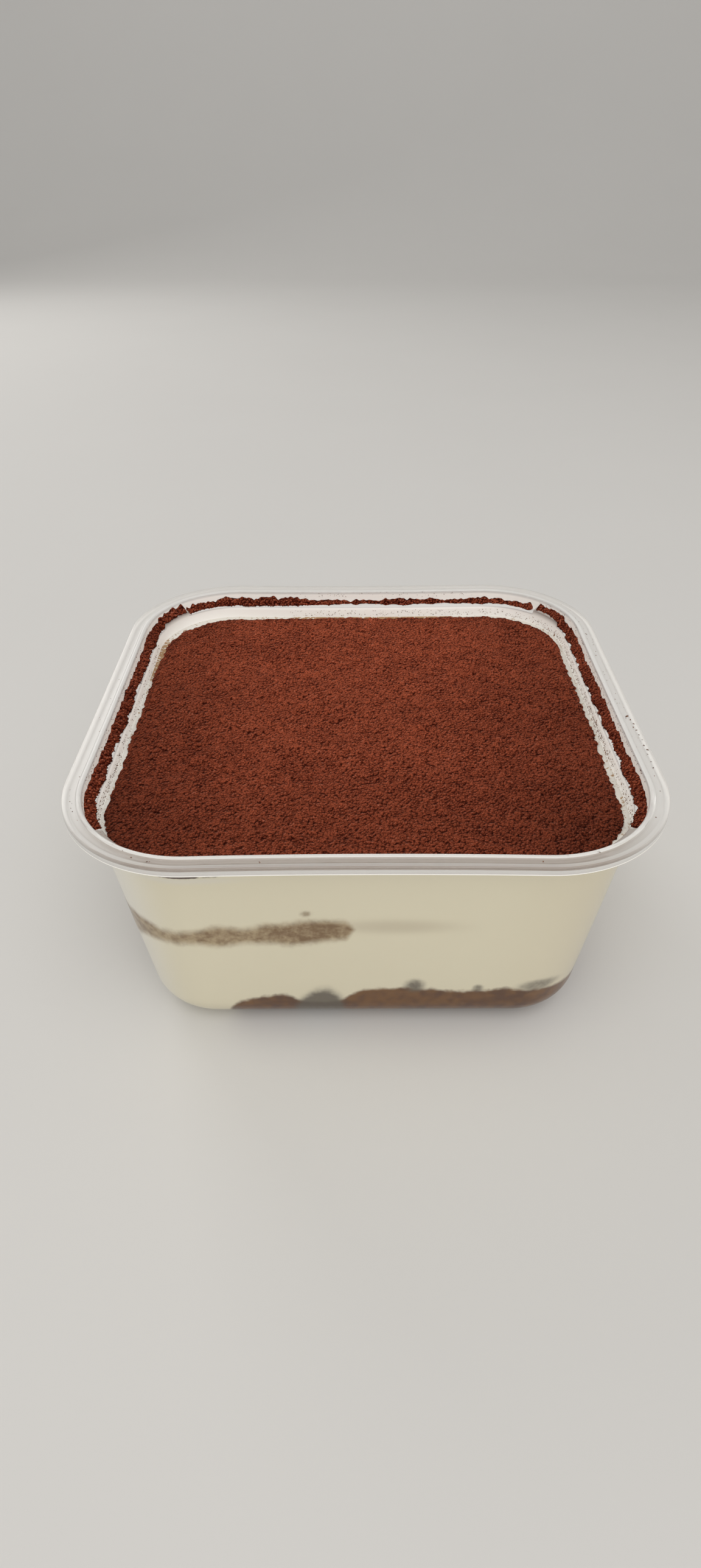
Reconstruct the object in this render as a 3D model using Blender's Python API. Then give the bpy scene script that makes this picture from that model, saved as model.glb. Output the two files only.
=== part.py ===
"""Square tub of clear plastic, open at the top and filled with tiramisu.

The tub stands on its flat base at z = 0 with the z axis through its middle and its front towards -y.
Its plan is a square with round corners. The walls lean outwards, turn into the base with a rounded foot,
and end in a step, a short upright wall and a flange with a turned-down skirt. Inside, from the base up,
lie a sponge layer, cream, a second sponge layer, cream again and a dusting of cocoa. Some of the cocoa
has settled on the step. All lengths are in millimetres until the meshes are made.
"""

import math

import bmesh
import bpy
import numpy as np

MM = 0.001
GAP = 0.3

RIM_HEIGHT = 62.0
WALL = 0.8
FLOOR = 0.9
BASE_HALF = 51.04
LEAN = 0.122
BASE_CORNER = 15.5
TOP_CORNER = 22.9
FOOT = 9.0
DEPTH_LESS = 0.3

MOUTH_HALF = 60.0
MOUTH_CORNER = 25.3
STEP_Z = 58.2
LUG_LIFT = 1.2
FLANGE_DIP = 0.2
BEAD = 0.9
FLANGE_WIDTH = 4.0
SKIRT_DROP = 1.95

SIDE_BOW = 0.35
FRONT_BOW = 1.65
BACK_BOW = 1.9

COCOA_EDGE = 55.6
COCOA_DEPTH = 1.0
CREAM_TOP = COCOA_EDGE - COCOA_DEPTH - GAP
MIDDLE_Z = 35.7
MIDDLE_THICK = 6.8
BOTTOM_TOP = 13.0

# The corners run anticlockwise from the back right one, as signs of x and y.
CORNERS = ((1, 1), (-1, 1), (-1, -1), (1, -1))
# Each corner has a lug on the step between these two angles of its quarter turn.
LUGS = ((20.0, 46.0), (44.0, 70.0), (34.0, 58.0), (32.0, 56.0))
# The two lugs at the front slope down inwards to this share of their lift.
FRONT_LUG_SHARE = 0.35

# The straight and the turned part of one quarter of the way round the mouth.
STRAIGHT = 2.0 * (MOUTH_HALF - MOUTH_CORNER)
QUARTER = MOUTH_CORNER * math.pi / 2.0
LAP = STRAIGHT + QUARTER
# The cocoa on the step stands clear of the short wall by this inset, and where it lies on a lug it comes
# down this many degrees beyond the lug's end.
BACK_INSET = 0.8
STEP_DOWN = 2.0

# Shares of the height of the cream's rows round the foot, and of the rings on a layer's top and underside.
FOOT_ROWS = (0.0, 0.008, 0.033, 0.073, 0.126, 0.25, 1.0)
SPREAD = (0.25, 0.5, 0.72, 0.9)


def smooth(value):
    """A ramp from 0 to 1 with level ends."""
    value = min(max(value, 0.0), 1.0)
    return value * value * (3.0 - 2.0 * value)


def plain_places(turn_steps, side_steps):
    """Places round the plan as (corner, angle in its quarter turn, fraction along the next side)."""
    places = []
    for corner in range(4):
        for step in range(turn_steps + 1):
            places.append((corner, 90.0 * step / turn_steps, 0.0))
        for step in range(1, side_steps):
            places.append((corner, 90.0, step / side_steps))
    return places


def tub_places():
    """The plain places with two close ones added at each end of each lug, so that its ends are steep."""
    places = plain_places(6, 4)
    for corner, ends in enumerate(LUGS):
        for end in ends:
            places += [(corner, end - 0.5, 0.0), (corner, end + 0.5, 0.0)]
    return sorted(places)


def plan_point(place, half, radius, bow):
    """The point of one place on a square of that half width whose corners have that radius."""
    corner, angle, along = place
    half_y = half - DEPTH_LESS
    sign_x, sign_y = CORNERS[corner]
    next_x, next_y = CORNERS[(corner + 1) % 4]
    turn = math.radians(90.0 * corner + angle)
    centre_x = (sign_x + (next_x - sign_x) * along) * (half - radius)
    centre_y = (sign_y + (next_y - sign_y) * along) * (half_y - radius)
    x = centre_x + radius * math.cos(turn)
    y = centre_y + radius * math.sin(turn)
    end_bow = FRONT_BOW if y < 0 else BACK_BOW
    bowed_x = x - bow * SIDE_BOW * x / half * (1.0 - (y / half_y) ** 2)
    bowed_y = y - bow * end_bow * y / half_y * (1.0 - (x / half) ** 2)
    return bowed_x, bowed_y


def foot_inset(height, foot):
    """How far the rounded foot stands in at a height above the bottom of its curve."""
    if height >= foot:
        return 0.0
    return foot - math.sqrt(max(foot * foot - (foot - height) ** 2, 0.0))


def wall_point(place, z, inset, floor=0.0, foot=FOOT):
    """A point on the wall's outer face moved inwards, above a floor with its own foot radius."""
    turned = foot_inset(z - floor, foot) if foot else 0.0
    half = BASE_HALF + LEAN * z - inset - turned
    corner = BASE_CORNER + (TOP_CORNER - BASE_CORNER) * z / RIM_HEIGHT - inset - 0.5 * turned
    return (*plan_point(place, half, corner, (z / RIM_HEIGHT) ** 2), z)


def rim_point(place, half, z):
    """A point of the upper wall or the flange, which follow the mouth."""
    return (*plan_point(place, half, MOUTH_CORNER + half - MOUTH_HALF, (z / RIM_HEIGHT) ** 2), z)


def on_lug(place):
    """True at the places where the step carries a lug."""
    corner, angle, along = place
    start, end = LUGS[corner]
    return along == 0.0 and start < angle < end


def lug_lift(place, inset):
    """How far a lug raises the step at that inset from the mouth."""
    if not on_lug(place):
        return 0.0
    if CORNERS[place[0]][1] > 0:
        return LUG_LIFT
    return LUG_LIFT * (1.0 - (1.0 - FRONT_LUG_SHARE) * min(inset / 2.2, 1.0))


def link_mesh(name, points, faces, material):
    """One object from points in millimetres."""
    mesh = bpy.data.meshes.new(name)
    mesh.from_pydata((np.array(points) * MM).tolist(), [], faces)
    mesh.materials.append(material)
    made = bmesh.new()
    made.from_mesh(mesh)
    bmesh.ops.recalc_face_normals(made, faces=made.faces)
    made.to_mesh(mesh)
    made.free()
    mesh.shade_smooth()
    mesh.set_sharp_from_angle(angle=math.radians(40.0))
    item = bpy.data.objects.new(name, mesh)
    bpy.context.scene.collection.objects.link(item)
    return item


def stack(rings, start, end):
    """Points and faces of a closed body from rings of equal length, closed by a point at each end."""
    count = len(rings[0])
    points = [start]
    for ring in rings:
        points += ring
    points.append(end)
    faces = []
    for row in range(len(rings) - 1):
        low = 1 + row * count
        for i in range(count):
            j = (i + 1) % count
            faces.append((low + i, low + j, low + count + j))
            faces.append((low + i, low + count + j, low + count + i))
    last = 1 + (len(rings) - 1) * count
    for i in range(count):
        j = (i + 1) % count
        faces.append((0, 1 + j, 1 + i))
        faces.append((last + i, last + j, len(points) - 1))
    return points, faces


def material(name, colour, roughness, transmission=0.0):
    """A Principled material."""
    made = bpy.data.materials.new(name)
    made.use_nodes = True
    shader = made.node_tree.nodes["Principled BSDF"]
    shader.inputs["Base Color"].default_value = (*colour, 1.0)
    shader.inputs["Roughness"].default_value = roughness
    shader.inputs["Metallic"].default_value = 0.0
    shader.inputs["Transmission Weight"].default_value = transmission
    return made


def outer_rings(places):
    """The outside from the flat base up to the underside of the flange."""
    rings = []
    for step in range(7):
        z = FOOT * (1.0 - math.cos(math.radians(15.0 * step)))
        rings.append([wall_point(p, z, 0.0) for p in places])
    for z in (26.0, 42.0, 56.4):
        rings.append([wall_point(p, z, 0.0) for p in places])
    for half, z in ((MOUTH_HALF - 0.1, 57.1), (MOUTH_HALF + 0.5, 57.7), (MOUTH_HALF + 0.6, 60.8)):
        rings.append([rim_point(p, half, z) for p in places])
    return rings


def flange_rings(places):
    """The flange and its skirt, from the underside over the outer edge to the bead at the mouth."""
    edge = MOUTH_HALF + FLANGE_WIDTH
    low = RIM_HEIGHT - SKIRT_DROP
    level = RIM_HEIGHT - FLANGE_DIP
    section = (
        (edge - WALL, RIM_HEIGHT - 1.0),
        (edge - WALL, low),
        (edge - 0.1, low),
        (edge, low + 0.15),
        (edge, RIM_HEIGHT - 0.5),
        (edge - 0.25, RIM_HEIGHT - 0.1),
        (edge - 0.7, RIM_HEIGHT),
        (edge - 1.1, level),
        (MOUTH_HALF + BEAD + 0.3, level),
        (MOUTH_HALF + BEAD, RIM_HEIGHT - 0.05),
        (MOUTH_HALF + 0.5 * BEAD, RIM_HEIGHT),
        (MOUTH_HALF + 0.1, RIM_HEIGHT - 0.2),
        (MOUTH_HALF, RIM_HEIGHT - 0.6),
    )
    return [[rim_point(p, half, z) for p in places] for half, z in section]


def step_rings(places):
    """The short wall below the mouth and the step with its raised lugs."""
    rings = []
    for inset, rise in ((0.25, 0.4), (0.6, 0.05), (2.2, 0.0), (2.6, -0.15)):
        ring = []
        for place in places:
            height = STEP_Z + rise + lug_lift(place, inset)
            ring.append(rim_point(place, MOUTH_HALF - inset, height))
        rings.append(ring)
    return rings


def inner_rings(places):
    """The inside from below the step down to the flat floor."""
    rings = []
    foot = FOOT - WALL
    for z in (57.2, 42.0, 26.0):
        rings.append([wall_point(p, z, WALL) for p in places])
    for step in range(6, -1, -1):
        z = FLOOR + foot * (1.0 - math.cos(math.radians(15.0 * step)))
        rings.append([wall_point(p, z, WALL, FLOOR, foot) for p in places])
    return rings


def make_tub(clear):
    """The moulded tub, one wall thick everywhere."""
    places = tub_places()
    rings = outer_rings(places) + flange_rings(places) + step_rings(places) + inner_rings(places)
    points, faces = stack(rings, (0.0, 0.0, 0.0), (0.0, 0.0, FLOOR))
    return link_mesh("tub", points, faces, clear)


def edge_ring(low, high, draw_in, share, foot, grow):
    """The points of one row of a layer's side, at a share of its height and moved outwards if it grows."""
    inset = WALL + GAP
    floor = FLOOR + GAP
    middle = 0.5 * (low(0.0, 0.0) + high(0.0, 0.0))
    ring = []
    for place in plain_places(5, 5):
        extra = draw_in(place)
        out = grow + 0.7 * (1.0 - min(extra / 1.5, 1.0)) if grow else 0.0
        near = wall_point(place, middle, inset + extra, floor, 0.0)
        bottom = low(near[0], near[1])
        z = bottom + (high(near[0], near[1]) - bottom) * share
        ring.append(wall_point(place, z, inset + extra - out, floor, foot))
    return ring


def slab(name, low, high, draw_in, look, heights, spread):
    """A layer that fills the tub between two height functions.

    draw_in says how far each place of the edge stands in from the wall, heights are the shares of the
    side's rows, and spread holds the shares of the rings that the top and underside have.
    """
    rings = [edge_ring(low, high, draw_in, share, FOOT - WALL - GAP, 0.0) for share in heights]
    return close_slab(name, low, high, rings, look, spread)


def cutter(low, high, draw_in, spread):
    """A layer's cutter, which is larger all round and passes through the wall where the layer meets it."""
    rows = ((0.0, 0.0), (0.0, GAP), (1.0, GAP), (1.0, 0.0))
    rings = [edge_ring(low, high, draw_in, share, 0.0, grow) for share, grow in rows]
    item = close_slab("cutter", low, high, rings, None, spread)
    item.hide_render = True
    item.display_type = "WIRE"
    return item


def close_slab(name, low, high, rings, look, spread):
    """Adds the top and the underside to the rings of a side."""
    under = [[(x * s, y * s, low(x * s, y * s)) for x, y, z in rings[0]] for s in spread]
    over = [[(x * s, y * s, high(x * s, y * s)) for x, y, z in rings[-1]] for s in reversed(spread)]
    points, faces = stack(under + rings + over, (0.0, 0.0, low(0.0, 0.0)), (0.0, 0.0, high(0.0, 0.0)))
    return link_mesh(name, points, faces, look)


def at_wall(place):
    """No place of the edge stands in from the wall."""
    return 0.0


def bottom_draw_in(place):
    """The bottom sponge stands clear of the wall only at the front left corner."""
    x, y = wall_point(place, 10.0, 0.0)[:2]
    along_front = smooth((-27.0 - x) / 6.0) * smooth((-30.0 - y) / 8.0)
    along_side = smooth((-27.0 - x) / 6.0) * smooth((-18.0 - y) / 12.0)
    return 9.0 * max(along_front, along_side)


def bottom_high(x, y):
    """The top of the bottom sponge, a little uneven."""
    wave = 0.9 * math.sin(x * 0.11 + 0.4) + 0.6 * math.sin(x * 0.29 + y * 0.05)
    return BOTTOM_TOP + 0.035 * x + wave + 0.4 * math.sin(y * 0.17)


def floor_level(x, y):
    """The layer that lies on the base."""
    return FLOOR + GAP


def middle_draw_in(place):
    """The middle sponge touches the wall along the left part of the front and round the corner."""
    x, y = wall_point(place, MIDDLE_Z, 0.0)[:2]
    front = smooth((x + 3.5) / 6.0)
    side = smooth((y + 22.0) / 10.0)
    return 4.5 * (side if x < -45.0 else max(front, side))


def middle_centre(x, y):
    """The level of the middle sponge's centre, which sinks towards the front left corner."""
    return MIDDLE_Z - 3.4 * smooth((-36.0 - x) / 9.0) * smooth((-20.0 - y) / 20.0)


def middle_half_thickness(x, y):
    """Half the middle sponge's thickness, which thins towards the front left corner."""
    thin = smooth((-18.0 - x) / 30.0) * smooth((-22.0 - y) / 22.0)
    ripple = 0.3 * math.sin(x * 0.35) + 0.25 * math.sin(y * 0.31 + 1.0)
    return 0.5 * MIDDLE_THICK - 1.4 * thin + ripple * (1.0 - thin)


def middle_low(x, y):
    """The underside of the middle sponge."""
    return middle_centre(x, y) - middle_half_thickness(x, y)


def middle_high(x, y):
    """The top of the middle sponge."""
    return middle_centre(x, y) + middle_half_thickness(x, y)


def cream_top(x, y):
    """The level top of the cream."""
    return CREAM_TOP


def cocoa_low(x, y):
    """The underside of the cocoa."""
    return COCOA_EDGE - COCOA_DEPTH


def cocoa_high(x, y):
    """The cocoa's surface, with long soft ripples that die away at the edge."""
    inside = (1.0 - smooth((abs(x) - 42.0) / 14.0)) * (1.0 - smooth((abs(y) - 42.0) / 14.0))
    wave = 0.30 * math.sin(x * 0.16 + y * 0.31 + 0.7)
    wave += 0.22 * math.sin(x * 0.42 - y * 0.13 + 2.0)
    wave += 0.16 * math.sin(y * 0.62 + x * 0.10)
    swell = 0.5 * math.cos(x * 0.028) * math.cos(y * 0.028)
    return COCOA_EDGE + inside * (wave + swell)


def cut(item, tool):
    """Cuts one object out of another and removes it."""
    modifier = item.modifiers.new("cut", "BOOLEAN")
    modifier.operation = "DIFFERENCE"
    modifier.object = tool
    modifier.solver = "EXACT"
    graph = bpy.context.evaluated_depsgraph_get()
    mesh = bpy.data.meshes.new_from_object(item.evaluated_get(graph))
    item.modifiers.clear()
    item.data = mesh
    mesh.name = item.name
    bpy.data.objects.remove(tool)


def make_sponges(look_bottom, look_middle):
    """The two sponge layers."""
    low_rows = (0.0, 0.02, 0.08, 0.17, 0.3, 0.55, 1.0)
    slab("sponge_bottom", floor_level, bottom_high, bottom_draw_in, look_bottom, low_rows, SPREAD)
    slab("sponge_middle", middle_low, middle_high, middle_draw_in, look_middle, (0.0, 0.5, 1.0), SPREAD)


def grown(low, high, draw_in, below, above):
    """A cutter for one sponge layer that also reaches below and above it by what is asked."""

    def lower(x, y):
        return low(x, y) - below

    def upper(x, y):
        return high(x, y) + above

    return cutter(lower, upper, draw_in, SPREAD)


def make_creams(look):
    """The two cream layers, cut out round the sponges."""

    def lower_top(x, y):
        return middle_centre(x, y) - 0.5 * GAP

    def upper_low(x, y):
        return middle_centre(x, y) + 0.5 * GAP

    lower = slab("cream_lower", floor_level, lower_top, at_wall, look, FOOT_ROWS, SPREAD)
    cut(lower, grown(floor_level, bottom_high, bottom_draw_in, 2.0, GAP))
    cut(lower, grown(middle_low, middle_high, middle_draw_in, GAP, GAP))
    upper = slab("cream_upper", upper_low, cream_top, at_wall, look, (0.0, 0.5, 1.0), SPREAD)
    cut(upper, grown(middle_low, middle_high, middle_draw_in, GAP, GAP))


def make_cocoa_top(look):
    """The cocoa on the cream."""
    rings = (0.08, 0.16, 0.24, 0.32, 0.4, 0.48, 0.56, 0.64, 0.72, 0.8, 0.87, 0.94, 0.98)
    slab("cocoa_top", cocoa_low, cocoa_high, at_wall, look, (0.0, 0.5, 1.0), rings)


def travel(corner, angle):
    """The distance round the mouth of a place on a corner."""
    return corner * LAP + QUARTER * angle / 90.0


def place_at(distance):
    """The place at a distance round the mouth."""
    at = distance % (4.0 * LAP)
    corner = min(int(at // LAP), 3)
    rest = at - corner * LAP
    if rest < QUARTER:
        return corner, 90.0 * rest / QUARTER, 0.0
    return corner, 90.0, (rest - QUARTER) / STRAIGHT


def step_stretch(start, end, count):
    """Places from one (corner, angle) to another, going anticlockwise, with their shares of the way.

    They are evenly spread, and two more stand close together where a lug between the ends stops.
    """
    first = travel(*start)
    last = travel(*end)
    if last < first:
        last += 4.0 * LAP
    stops = [first + (last - first) * step / count for step in range(count + 1)]
    for corner, ends in enumerate(LUGS):
        for angle in (ends[0] - STEP_DOWN, ends[1] + STEP_DOWN):
            for stop in (travel(corner, angle - 0.5), travel(corner, angle + 0.5)):
                stops += [at for at in (stop, stop + 4.0 * LAP) if first + 0.5 < at < last - 0.5]
    stops.sort()
    return [(place_at(at), (at - first) / (last - first)) for at in stops]


def under_strip(place):
    """The underside of a strip: just above the step, or above a lug where there is one."""
    corner, angle, along = place
    start, end = LUGS[corner]
    lies_on_lug = along == 0.0 and start - STEP_DOWN < angle < end + STEP_DOWN
    return STEP_Z + GAP + (LUG_LIFT if lies_on_lug else 0.0)


def strip(name, start, end, thin, full, seed, look):
    """A strip of cocoa along the step, highest against the short wall and ragged along its inner edge.

    thin and full are widths and heights. The strip is thin at its start and full in its last third.
    """
    count = max(6, int(26 * width_share(start, end)))
    places = step_stretch(start, end, count)
    draw = np.random.default_rng(seed)
    rings = []
    for number, (place, share) in enumerate(places):
        floor = under_strip(place)
        taper = min(number, len(places) - 1 - number, 1) * 0.5 + 0.5
        grown = smooth((share - 0.6) / 0.08)
        width = thin[0] + (full[0] - thin[0]) * grown
        height = thin[1] + (full[1] - thin[1]) * grown
        reach = BACK_INSET + 0.05 + taper * width * draw.uniform(0.75, 1.1)
        top = floor + 0.25 + taper * height * draw.uniform(0.75, 1.0)
        halfway = (0.5 * (BACK_INSET + reach), 0.5 * (floor + top))
        section = ((BACK_INSET, floor), (BACK_INSET, top), halfway, (reach, floor))
        rings.append([rim_point(place, MOUTH_HALF - inset, z) for inset, z in section])
    middle = [tuple(np.mean(ring, axis=0)) for ring in (rings[0], rings[-1])]
    points, faces = stack(rings, middle[0], middle[1])
    return link_mesh(name, points, faces, look)


def width_share(start, end):
    """The part of the way round, in quarters, between two places."""
    turns = (end[0] + end[1] / 180.0) - (start[0] + start[1] / 180.0)
    return turns % 4.0


def make_strips(look):
    """The cocoa on the step, in four strips that part at the lugs."""
    side = (1.4, 0.6)
    strip("ledge_cocoa_back", (0, 48.5), (1, 41.5), (0.45, 0.35), (1.55, 1.3), 5, look)
    strip("ledge_cocoa_left", (1, 46.5), (2, 31.5), side, side, 6, look)
    strip("ledge_cocoa_front", (2, 60.5), (3, 29.5), (1.0, 0.6), (1.0, 0.6), 7, look)
    strip("ledge_cocoa_right", (3, 58.5), (0, 42.5), side, side, 8, look)


def main():
    """Builds every piece of the part."""
    for item in list(bpy.data.objects):
        bpy.data.objects.remove(item)
    make_tub(material("clear_plastic", (0.90, 0.90, 0.88), 0.18, 0.85))
    make_sponges(
        material("soaked_sponge", (0.30, 0.19, 0.11), 0.75),
        material("soaked_sponge_upper", (0.40, 0.27, 0.16), 0.75),
    )
    make_creams(material("cream", (0.85, 0.79, 0.58), 0.55))
    cocoa = material("cocoa", (0.14, 0.035, 0.015), 0.95)
    make_cocoa_top(cocoa)
    make_strips(material("cocoa_on_step", (0.13, 0.032, 0.014), 0.95))


main()
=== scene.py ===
# %% [markdown]
# # Tiramisu in a clear square tub
# This lesson dresses a plain solid model of a tiramisu: an open, square plastic tub with two sponge layers,
# two layers of cream, and a bed of cocoa powder on top. The solid model is loaded first and is never moved.
# Every piece that is made here sits where the solid says, and takes the solid's place in the picture.

# %% Load the solid model
import math

import bpy
import numpy as np
from mathutils import Matrix


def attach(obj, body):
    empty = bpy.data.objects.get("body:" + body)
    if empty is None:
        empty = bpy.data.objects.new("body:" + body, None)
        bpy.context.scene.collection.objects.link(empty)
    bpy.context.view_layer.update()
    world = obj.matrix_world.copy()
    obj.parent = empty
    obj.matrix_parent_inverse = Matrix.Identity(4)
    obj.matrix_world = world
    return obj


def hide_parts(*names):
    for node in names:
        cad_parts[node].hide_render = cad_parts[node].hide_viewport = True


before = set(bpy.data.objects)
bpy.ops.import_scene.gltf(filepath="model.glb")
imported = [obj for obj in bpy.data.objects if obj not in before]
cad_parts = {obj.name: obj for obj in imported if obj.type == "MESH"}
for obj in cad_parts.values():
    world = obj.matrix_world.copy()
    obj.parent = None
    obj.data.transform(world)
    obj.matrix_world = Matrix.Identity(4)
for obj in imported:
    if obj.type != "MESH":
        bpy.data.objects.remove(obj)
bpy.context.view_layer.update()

MM = 0.001
print("solids:", sorted(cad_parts))

# %% [markdown]
# ## The tub's plan
# The tub is a square with round corners, and each long side bows in a little, most at the rim. It could be
# drawn by hand as a curve and scaled from ring to ring, but then its corners would change in proportion
# only. A formula is better: it gives the outline for any half width, corner radius and bow, and every piece
# that touches the wall can ask it for the same points, so nothing floats or cuts through.
#
# A place on the way round is three numbers: which corner, the angle in that corner's quarter turn, and how
# far along the straight side that follows it.

# %% Plan of the tub
# All in mm. LEAN is how far the wall leans out for each mm of height, and a bow is how far a side's middle
# stands in at the rim.
RIM_HEIGHT, WALL, FLOOR = 62.0, 0.8, 0.9
BASE_HALF, LEAN, BASE_CORNER, TOP_CORNER, FOOT = 51.04, 0.122, 15.5, 22.9, 9.0
MOUTH_HALF, MOUTH_CORNER, DEPTH_LESS = 60.0, 25.3, 0.3
SIDE_BOW, FRONT_BOW, BACK_BOW = 0.35, 1.65, 1.9
CORNER_SIGNS = np.array(((1, 1), (-1, 1), (-1, -1), (1, -1)), float)


def plan(place, half, radius, bow):
    """Points of the rounded square. The centre of the quarter turn slides along the side, and the point lies
    one radius away from it. Then each side moves in by its bow times one minus the square of the distance
    from the side's middle."""
    corner, angle, along = place
    half_y = half - DEPTH_LESS
    start, end = CORNER_SIGNS[corner], CORNER_SIGNS[(corner + 1) % 4]
    centre = start + (end - start) * along[:, None]
    turn = np.radians(90.0 * corner + angle)
    x = centre[:, 0] * (half - radius) + radius * np.cos(turn)
    y = centre[:, 1] * (half_y - radius) + radius * np.sin(turn)
    end_bow = np.where(y < 0, FRONT_BOW, BACK_BOW)
    bowed_x = x - bow * SIDE_BOW * x / half * (1 - (y / half_y) ** 2)
    bowed_y = y - bow * end_bow * y / half_y * (1 - (x / half) ** 2)
    return bowed_x, bowed_y


def foot_inset(height, foot):
    """How far a quarter circle of that radius stands in at a height above its lowest point."""
    low = np.clip(foot - height, 0, foot)
    return foot - np.sqrt(foot * foot - low * low)


def wall(place, z, inset, floor=0.0, foot=FOOT):
    """Points on the leaning wall, moved inwards. The half width and the corner radius grow evenly with
    height, and the rounded foot draws both in near the floor."""
    turned = foot_inset(z - floor, foot)
    half = BASE_HALF + LEAN * z - inset - turned
    radius = BASE_CORNER + (TOP_CORNER - BASE_CORNER) * z / RIM_HEIGHT - inset - 0.5 * turned
    x, y = plan(place, half, radius, (z / RIM_HEIGHT) ** 2)
    return np.stack((x, y, np.broadcast_to(z, x.shape)), -1)


def rim(place, half, z):
    """Points of the flange and the short upright wall, which run parallel to the mouth."""
    x, y = plan(place, half, MOUTH_CORNER + half - MOUTH_HALF, (z / RIM_HEIGHT) ** 2)
    return np.stack((x, y, np.broadcast_to(z, x.shape)), -1)


print("mouth:", 2 * MOUTH_HALF, "mm wide and", 2 * (MOUTH_HALF - DEPTH_LESS), "mm deep")

# %% [markdown]
# ## Places round the tub
# The way round is cut into stations. Most are evenly spaced. A lug at each corner rises steeply from the
# step, so stations crowd together at the lug's two ends, where an even spacing would make a slack ramp.

# %% Stations
LUGS = np.array(((20.0, 46.0), (44.0, 70.0), (34.0, 58.0), (32.0, 56.0)))
LUG_LIFT, FRONT_LUG_SHARE = 1.2, 0.35
STRAIGHT = 2 * (MOUTH_HALF - MOUTH_CORNER)
QUARTER = MOUTH_CORNER * math.pi / 2
LAP = STRAIGHT + QUARTER


def places_at(travel):
    """Places from a distance round the mouth in mm: corner number, angle and fraction of the next side."""
    travel = np.mod(travel, 4 * LAP)
    corner = np.minimum((travel // LAP).astype(int), 3)
    rest = travel - corner * LAP
    angle = 90 * np.clip(rest / QUARTER, 0, 1)
    along = np.clip((rest - QUARTER) / STRAIGHT, 0, 1)
    return corner, angle, along


def smooth(value, low=0.0, high=1.0):
    """A ramp from 0 at low to 1 at high with level ends."""
    part = np.clip((value - low) / (high - low), 0, 1)
    return part * part * (3 - 2 * part)


def lug_rise(place):
    """One on a lug and nothing elsewhere, with a ramp one degree wide at each end."""
    corner, angle, along = place
    start, end = LUGS[corner].T
    return smooth(angle, start - 0.5, start + 0.5) * (1 - smooth(angle, end - 0.5, end + 0.5)) * (along == 0)


even = np.linspace(0, 4 * LAP, 300, endpoint=False)
close = (np.arange(4)[:, None] * LAP + LUGS / 90 * QUARTER).ravel()[:, None] + np.linspace(-0.5, 0.5, 9)
tub_travel = np.unique(np.concatenate((even, close.ravel())))
print("stations:", len(tub_travel), "round", round(4 * LAP, 1), "mm")

# %% [markdown]
# ## From grids to closed meshes
# Every piece is a grid of points: rings that go round, one after another. One helper joins neighbouring
# rings with four-sided faces, closes each end with a point, and hands the arrays to Blender. The faces run
# the same way round everywhere, so all of them look outwards.

# %% Closed meshes
def add_object(name, data):
    """Puts a new object with that data into the scene."""
    item = bpy.data.objects.new(name, data)
    bpy.context.scene.collection.objects.link(item)
    return item


def add_piece(name, points, faces, nodes=(), marks=None, crease=None):
    """Edges that turn by more than crease degrees stay sharp."""
    mesh = bpy.data.meshes.new(name)
    mesh.vertices.add(len(points))
    mesh.vertices.foreach_set("co", (points * MM).astype(np.float32).ravel())
    sizes = np.array([len(block[0]) for block in faces for _ in range(len(block))], np.int32)
    corners = np.concatenate([np.asarray(block).ravel() for block in faces]).astype(np.int32)
    mesh.loops.add(len(corners))
    mesh.loops.foreach_set("vertex_index", corners)
    mesh.polygons.add(len(sizes))
    mesh.polygons.foreach_set("loop_start", np.concatenate(([0], np.cumsum(sizes)[:-1])).astype(np.int32))
    mesh.update(calc_edges=True)
    mesh.validate()
    for key, values in (marks or {}).items():
        stored = mesh.attributes.new(key, "FLOAT", "POINT")
        stored.data.foreach_set("value", values.astype(np.float32).ravel())
    mesh.shade_smooth()
    if crease:
        mesh.set_sharp_from_angle(angle=math.radians(crease))
    piece = add_object(name, mesh)
    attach(piece, "root")
    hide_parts(*nodes)
    print(name, len(points), "points", len(sizes), "faces")
    return piece


def grid_faces(number):
    """Four-sided faces between neighbours in a grid of point numbers."""
    return np.stack((number[:-1, :-1], number[:-1, 1:], number[1:, 1:], number[1:, :-1]), -1).reshape(-1, 4)


def fan(ring, tip):
    """Three-sided faces from each pair of neighbours on a closed ring to one point."""
    return np.stack((ring, np.roll(ring, -1), np.full(len(ring), tip)), -1)


def closed_body(rings, start, end):
    """Points and faces of rings shaped (rows, places, 3), closed with one point at each end."""
    rows, count = rings.shape[:2]
    points = np.concatenate((rings.reshape(-1, 3), [start, end]))
    number = np.arange(rows * count).reshape(rows, count)
    sides = grid_faces(np.hstack((number, number[:, :1])))
    return points, [sides, fan(number[0], rows * count)[:, ::-1], fan(number[-1], rows * count + 1)]


# %% [markdown]
# ## Camera
# The picture was taken from in front and above, with the tub a little below the middle of the frame. The
# camera's place and turn come from fitting the outline of the rim and the body. Blender takes both as one
# matrix. Its columns are the camera's right, up and backward directions and its place.

# %% Camera
IMAGE_WIDTH, IMAGE_HEIGHT, FOCAL_PIXELS = 1152, 2576, 1400.0
YAW, PITCH, ROLL = -0.0042, 0.6556, -0.0066
CAMERA_PLACE = np.array((-2.4456, -178.953, 171.597))


def camera_axes(yaw, pitch, roll):
    """Right, up and forward: forward is turned by yaw and dipped by pitch. The others roll round it."""
    forward = np.array((math.sin(yaw) * math.cos(pitch), math.cos(yaw) * math.cos(pitch), -math.sin(pitch)))
    level = np.array((math.cos(yaw), -math.sin(yaw), 0.0))
    upright = np.cross(level, forward)
    right = math.cos(roll) * level + math.sin(roll) * upright
    up = math.cos(roll) * upright - math.sin(roll) * level
    return right, up, forward


def set_pose(item, right, up, back, place):
    """Turns and places an object by the columns of its matrix."""
    pose = np.eye(4)
    pose[:3] = np.stack((right, up, back, place), -1)
    item.matrix_world = Matrix(pose.tolist())


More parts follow.
